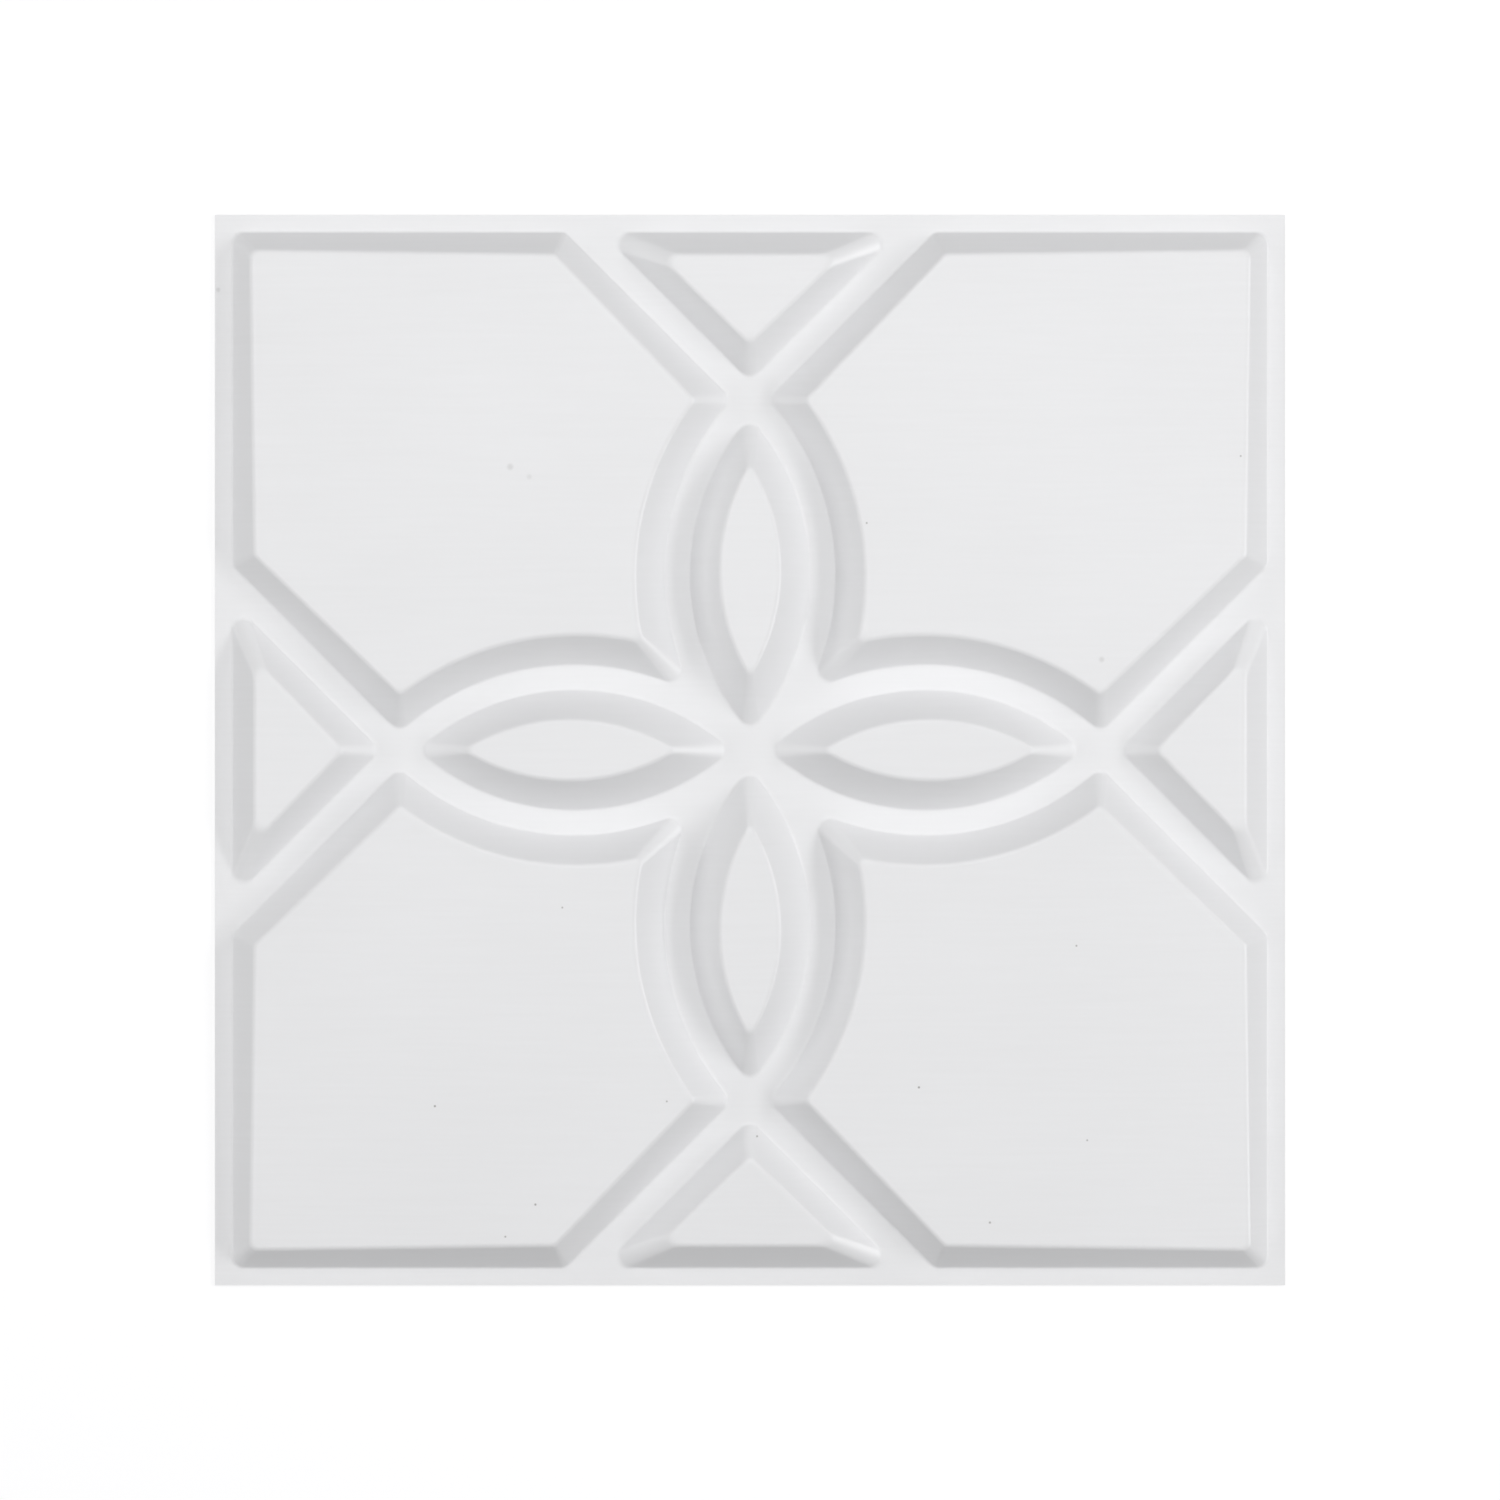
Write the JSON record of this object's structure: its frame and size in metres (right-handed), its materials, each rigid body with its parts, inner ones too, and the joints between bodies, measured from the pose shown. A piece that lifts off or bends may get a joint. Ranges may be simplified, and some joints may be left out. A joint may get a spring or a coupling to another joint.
{
  "type": "textured pvc wall panel",
  "caption": "Square white PVC wall tile, one thin sheet formed with raised pads between sunken bands that weave a petal rosette; glued to a wall by its flat back.",
  "frame": {"origin": "centre of the flat back, in the plane that lies against the wall", "axes": "+Z out of the decorated face, +X and +Y along the panel's edges; it lies on its back"},
  "size_m": [0.5, 0.5, 0.0187],
  "materials": {
    "white_pvc": "satin white, with a fine moulded grain"
  },
  "bodies": {
    "root": {"wall_panel": "white_pvc"}
  },
  "joints": []
}
